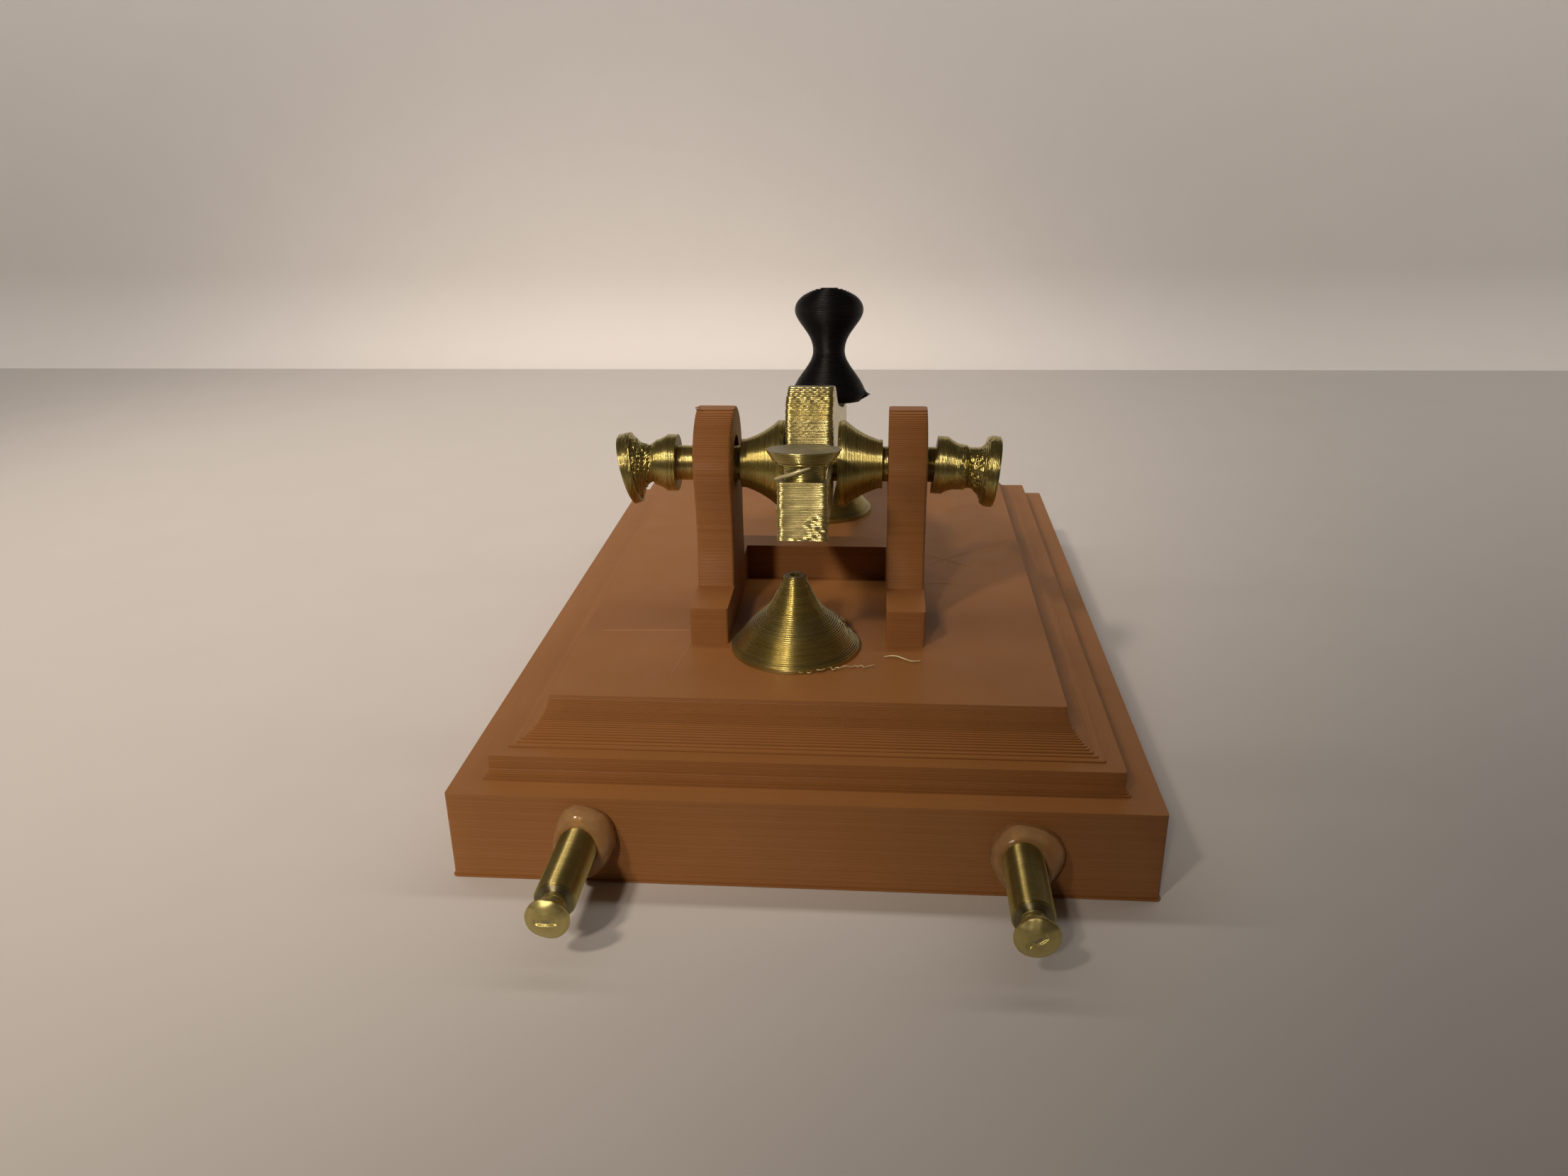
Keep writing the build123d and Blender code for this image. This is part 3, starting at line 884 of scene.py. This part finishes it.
def glue_blob(side_name, seed, widths, heights, lean):
    """A clear bead that sat down unevenly: higher than wide, and pulled out along the post."""
    node = f"{side_name}_glue_bead"
    low, high = local_box(node, Matrix())
    centre_x = (low[0] + high[0]) / 2
    centre_z = (low[2] + high[2]) / 2
    placement = pointing(centre_x, low[1] - 0.02, centre_z, (0, 1, 0))
    back = placement.inverted().to_3x3()
    across = np.array(back @ Vector((1, 0, 0)))[:2]
    upward = np.array(back @ Vector((0, 0, 1)))[:2]
    tall = high[1] - low[1]
    swell = waves(seed, 4.0)
    angles = np.arange(96) * 2 * math.pi / 96
    rows = []
    post_radius = 2.2
    for step in range(25):
        turn = math.pi / 2 * step / 24
        spread = math.cos(turn) ** 0.75
        height = tall * math.sin(turn)
        row = []
        for angle in angles:
            right = math.cos(angle)
            top = math.sin(angle)
            reach_x = widths[0] if right > 0 else widths[1]
            reach_z = heights[0] if top > 0 else heights[1]
            reach = 1 / math.hypot(right / reach_x, top / reach_z)
            radius = post_radius + 0.12 + (reach - post_radius) * spread
            spot = across * right * radius + upward * top * radius
            fall = 1 + lean * top
            row.append((spot[0], spot[1], height * fall))
        row = np.array(row)
        direction = row[:, :2] / np.linalg.norm(row[:, :2], axis=1)[:, None]
        row[:, :2] += direction * (swell(row) * 0.14 * spread)[:, None]
        rows.append(row)
    start = np.arctan2(rows[-1][:, 1], rows[-1][:, 0])
    inner = np.column_stack((np.cos(start), np.sin(start))) * post_radius
    rows.append(np.column_stack((inner, rows[-1][:, 2] - 0.05)))
    rows.append(np.column_stack((inner, np.zeros(len(inner)))))
    piece(f"{node}_body", skin(rows, closed=True), placement, glue, "base", [node], sharp=60)


# ---- strings and scars -----------------------------------------------------------------------------
def tail_screw_strings(lever_place):
    """A thick string across the tail screw's neck and a thin one beside it."""
    low, high = local_box("tail_screw", lever_place)
    middle = (low + high) / 2
    placement = lever_place @ Matrix.Translation((middle[0], middle[1], high[2] - string_drop))
    across_neck = [(3.3, 1.9, 0.35), (2.4, 2.5, 0.7), (1.2, 3.0, 1.1), (0.2, 3.1, 1.5), (-0.95, 2.95, 1.85)]
    beside_neck = [(-3.0, 0.9, 2.0), (-2.85, 1.2, 1.2), (-2.75, 1.4, 0.3)]
    strand("tail_screw_string", across_neck, 0.5, placement, pale_gold, "tail_screw")
    strand("tail_screw_hair", beside_neck, 0.25, placement, pale_gold, "tail_screw")


def deck_scars(on_deck):
    """Fine raised lines where the nozzle crossed the finished deck."""
    scars = (
        ((-15.7, 3.1), (-22.0, -2.6), (-28.7, -8.6)),
        ((-15.8, -1.1), (-20.5, 2.2), (-25.2, 5.9)),
        ((-15.5, 10.5), (-20.6, 10.3), (-25.7, 10.1)),
        ((16.3, 28.4), (22.0, 28.6), (27.7, 28.9)),
        ((15.4, 32.3), (15.9, 37.0), (16.4, 41.6)),
    )
    for number, points in enumerate(scars):
        path = [(x, y, 0.0) for x, y in points]
        strand(f"deck_scar_{number}", path, 0.12, on_deck, pale_brown, "base")


def deck_strings(on_deck):
    """A loose string, the curls at the rear anvil's foot, and a hair on top of the right upright."""
    stray = [
        (-9.3, 35.5, 0.1),
        (-10.4, 35.7, 0.5),
        (-11.6, 36.1, 0.25),
        (-12.8, 36.9, 0.15),
        (-13.7, 37.2, 0.5),
    ]
    strand("stray_string", stray, 0.2, on_deck, pale_gold, "base")
    curl_rng = random.Random(171)
    curls = []
    for step in range(26):
        share = step / 25
        sway = curl_rng.uniform(-0.7, 0.7)
        curls.append((1.0 - 9.4 * share, 40.3 - 2.0 * share + sway, 0.08 + curl_rng.uniform(0, 0.5)))
    strand("anvil_curls", curls, 0.14, on_deck, pale_gold, "base")
    upright_hair = [(15.2, 19.6, 27.2), (15.5, 20.0, 27.7), (15.1, 20.5, 28.0), (14.7, 20.4, 27.7)]
    strand("upright_hair", upright_hair, 0.12, on_deck, brown, "base")


# ---- building ----------------------------------------------------------------------------------
deck_z = base()
bearing_frame(deck_z)
anvil("rear_anvil", 51, math.radians(200), 3.4)
anvil("front_anvil", 61, math.radians(80), 2.6)
axle()
cone("right_trunnion_cone", 1, 71)
cone("left_trunnion_cone", -1, 81)
thumbscrew(
    "right_thumbscrew",
    direction=1,
    seed=91,
    lean=2.3,
    droop=1.0,
    lean_from=0.35,
    mess=1.0,
    waist_at=0.54,
    waist_cut=0.5,
)
thumbscrew(
    "left_thumbscrew",
    direction=-1,
    seed=101,
    lean=1.1,
    droop=0.95,
    lean_from=0,
    mess=0.6,
    waist_at=0.66,
    waist_cut=0.75,
)
lever_place = lever_frame()
lever(lever_place)
turned(
    "tail_screw_body",
    "tail_screw",
    on_lever("tail_screw", lever_place),
    gold,
    "tail_screw",
    wobbly(111),
)
knob(lever_place)
tail_screw_strings(lever_place)
nodes["knob_stud"].data.materials.clear()
nodes["knob_stud"].data.materials.append(gold)
for name, seed, slot_angle in (("right", 131, 0.0), ("left", 141, 0.6)):
    rear_post(name, seed)
    slotted_head(name, seed + 5, slot_angle)
glue_blob("right", 151, (2.9, 3.9), (3.9, 4.6), -0.25)
glue_blob("left", 161, (3.3, 4.6), (3.2, 4.5), -0.25)
on_deck = standing(0, 0, deck_z)
deck_scars(on_deck)
deck_strings(on_deck)


# ---- stage, lights and camera ------------------------------------------------------------------
def stage():
    """A pale paper floor that turns up into a paler backdrop behind the knob's end. Both are one paper: the
    floor's darker colour is painted shade and the backdrop's paler colour is painted light.
    """
    bend = 0.03
    wall_y = -0.26
    profile = [(1.6, 0.0), (wall_y + bend, 0.0)]
    for step in range(1, 13):
        angle = math.pi / 2 * step / 12
        profile.append((wall_y + bend * (1 - math.sin(angle)), bend * (1 - math.cos(angle))))
    profile.append((wall_y, 0.24))
    vertices = []
    for y, z in profile:
        vertices += [(-2.2, y, z - 0.00005), (2.2, y, z - 0.00005)]
    faces = [(2 * i, 2 * i + 1, 2 * i + 3, 2 * i + 2) for i in range(len(profile) - 1)]
    mesh = bpy.data.meshes.new("paper_sweep")
    mesh.from_pydata(vertices, [], faces)
    mesh.polygons.foreach_set("use_smooth", [True] * len(mesh.polygons))
    # One paper in two copies: the floor's is darkened as painted shade, the backdrop's lightened as painted
    # light.
    mesh.materials.append(paper("floor_paper", (0.56, 0.54, 0.515, 1), (0.59, 0.57, 0.545, 1)))
    mesh.materials.append(paper("wall_paper", (0.81, 0.785, 0.755, 1), (0.84, 0.815, 0.785, 1)))
    for face in mesh.polygons[1:]:
        face.material_index = 1
    sweep = bpy.data.objects.new("paper_sweep", mesh)
    bpy.context.collection.objects.link(sweep)


def soft_spot(name, azimuth, elevation, distance, radius, cone, power, colour, aim):
    """A lamp with a soft-edged pool of light. Azimuth 0 is behind the terminals, and 90 is to the right."""
    direction = Vector(
        (
            math.sin(azimuth) * math.cos(elevation),
            math.cos(azimuth) * math.cos(elevation),
            math.sin(elevation),
        )
    )
    place = Vector((0, 0, 0.025)) + direction * distance
    lamp = bpy.data.lights.new(name, "SPOT")
    lamp.shadow_soft_size = radius
    lamp.spot_size = cone
    lamp.spot_blend = 1.0
    lamp.energy = power
    lamp.color = colour
    holder = bpy.data.objects.new(name, lamp)
    holder.location = place
    holder.rotation_mode = "QUATERNION"
    holder.rotation_quaternion = (place - Vector(aim)).to_track_quat("Z", "Y")
    bpy.context.collection.objects.link(holder)


def backdrop_light():
    """A wide lamp over the knob's end that lights only the backdrop, and doesn't mirror in the metal."""
    lamp = bpy.data.lights.new("backdrop", "AREA")
    lamp.shape = "RECTANGLE"
    lamp.size = 1.4
    lamp.size_y = 0.06
    lamp.energy = 1.5
    lamp.color = (1.0, 0.92, 0.86)
    holder = bpy.data.objects.new("backdrop", lamp)
    holder.location = (0.05, -0.06, 0.33)
    holder.rotation_euler = (-math.radians(40), 0, 0)
    holder.visible_glossy = False
    holder.visible_camera = False
    bpy.context.collection.objects.link(holder)


def camera():
    yaw = math.radians(4.846)
    pitch = math.radians(22.08)
    roll = math.radians(-0.905)
    forward = Vector((math.sin(yaw) * math.cos(pitch), -math.cos(yaw) * math.cos(pitch), -math.sin(pitch)))
    level = Vector((-math.cos(yaw), -math.sin(yaw), 0))
    above = level.cross(forward)
    right = math.cos(roll) * level + math.sin(roll) * above
    up = -math.sin(roll) * level + math.cos(roll) * above
    data = bpy.data.cameras.new("camera")
    data.lens = 27.03
    data.sensor_width = 36
    data.sensor_fit = "HORIZONTAL"
    data.clip_start = 0.01
    data.clip_end = 20
    holder = bpy.data.objects.new("camera", data)
    turn = Matrix((right, up, -forward)).transposed().to_4x4()
    holder.matrix_world = Matrix.Translation(Vector((-8.218, 168.16, 81.72)) * MM) @ turn
    bpy.context.collection.objects.link(holder)
    bpy.context.scene.camera = holder


def world():
    """Almost dark for the object, so that the lamps shape it, and pale where the camera sees past it."""
    made = bpy.data.worlds.new("studio")
    made.use_nodes = True
    tree = made.node_tree
    room = tree.nodes["Background"]
    room.inputs["Color"].default_value = (1.0, 0.80, 0.62, 1)
    room.inputs["Strength"].default_value = 0.035
    behind = tree.nodes.new("ShaderNodeBackground")
    behind.inputs["Color"].default_value = (0.62, 0.55, 0.49, 1)
    seen = tree.nodes.new("ShaderNodeLightPath")
    mix = tree.nodes.new("ShaderNodeMixShader")
    tree.links.new(seen.outputs["Is Camera Ray"], mix.inputs[0])
    tree.links.new(room.outputs[0], mix.inputs[1])
    tree.links.new(behind.outputs[0], mix.inputs[2])
    tree.links.new(mix.outputs[0], tree.nodes["World Output"].inputs[0])
    bpy.context.scene.world = made


stage()
warm = (1.0, 0.84, 0.70)
pool = (0.11, -0.03, 0)
soft_spot("key", math.radians(36), math.radians(44), 1.0, 0.05, math.radians(24), 21, warm, pool)
soft_spot("second", math.radians(16), math.radians(32), 1.0, 0.035, math.radians(24), 16, warm, pool)
backdrop_light()
camera()
world()
bpy.context.scene.view_settings.view_transform = "Standard"
